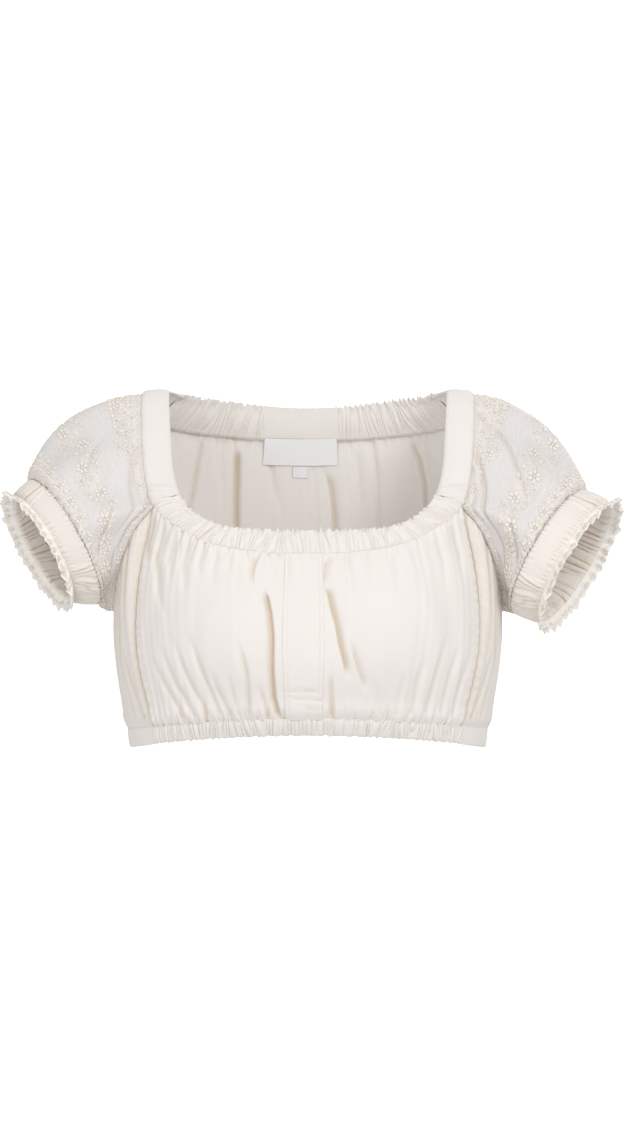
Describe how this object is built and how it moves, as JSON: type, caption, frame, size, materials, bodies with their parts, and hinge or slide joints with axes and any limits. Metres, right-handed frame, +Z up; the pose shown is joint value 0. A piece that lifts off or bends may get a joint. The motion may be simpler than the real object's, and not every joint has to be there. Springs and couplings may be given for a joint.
{
  "type": "dirndl blouse",
  "caption": "Short gathered cotton blouse with a wide square neckline, elastic casings at neck and hem, and sheer embroidered puff sleeves with frilled cuffs, filled out as worn.",
  "frame": {"origin": "between the shoulders, level with the top of the neckline, midway between front and back, where the wearer's shoulders hold the blouse up", "axes": "+X to the wearer's left, -Y to the front, +Z up"},
  "size_m": [0.4939, 0.2264, 0.2867],
  "materials": {
    "cotton": "matt cream plain-weave cotton",
    "sheer": "sheer cream voile with tone-on-tone flower embroidery",
    "lace": "matt cream cotton lace",
    "label": "woven white satin"
  },
  "bodies": {
    "root": {"front_panel": "cotton", "front_placket": "cotton", "side_panel_left": "cotton", "side_panel_right": "cotton", "back_panel": "cotton", "neck_casing_front": "cotton", "neck_casing_back": "cotton", "shoulder_band_left": "cotton", "shoulder_band_right": "cotton", "hem_casing_front": "cotton", "hem_casing_back": "cotton", "hem_side_left": "cotton", "hem_side_right": "cotton", "cuff_left": "cotton", "cuff_right": "cotton", "sleeve_left": "sheer", "sleeve_right": "sheer", "cuff_frill_left": "lace", "cuff_frill_right": "lace", "neck_label": "label", "size_tab": "label"}
  },
  "joints": []
}
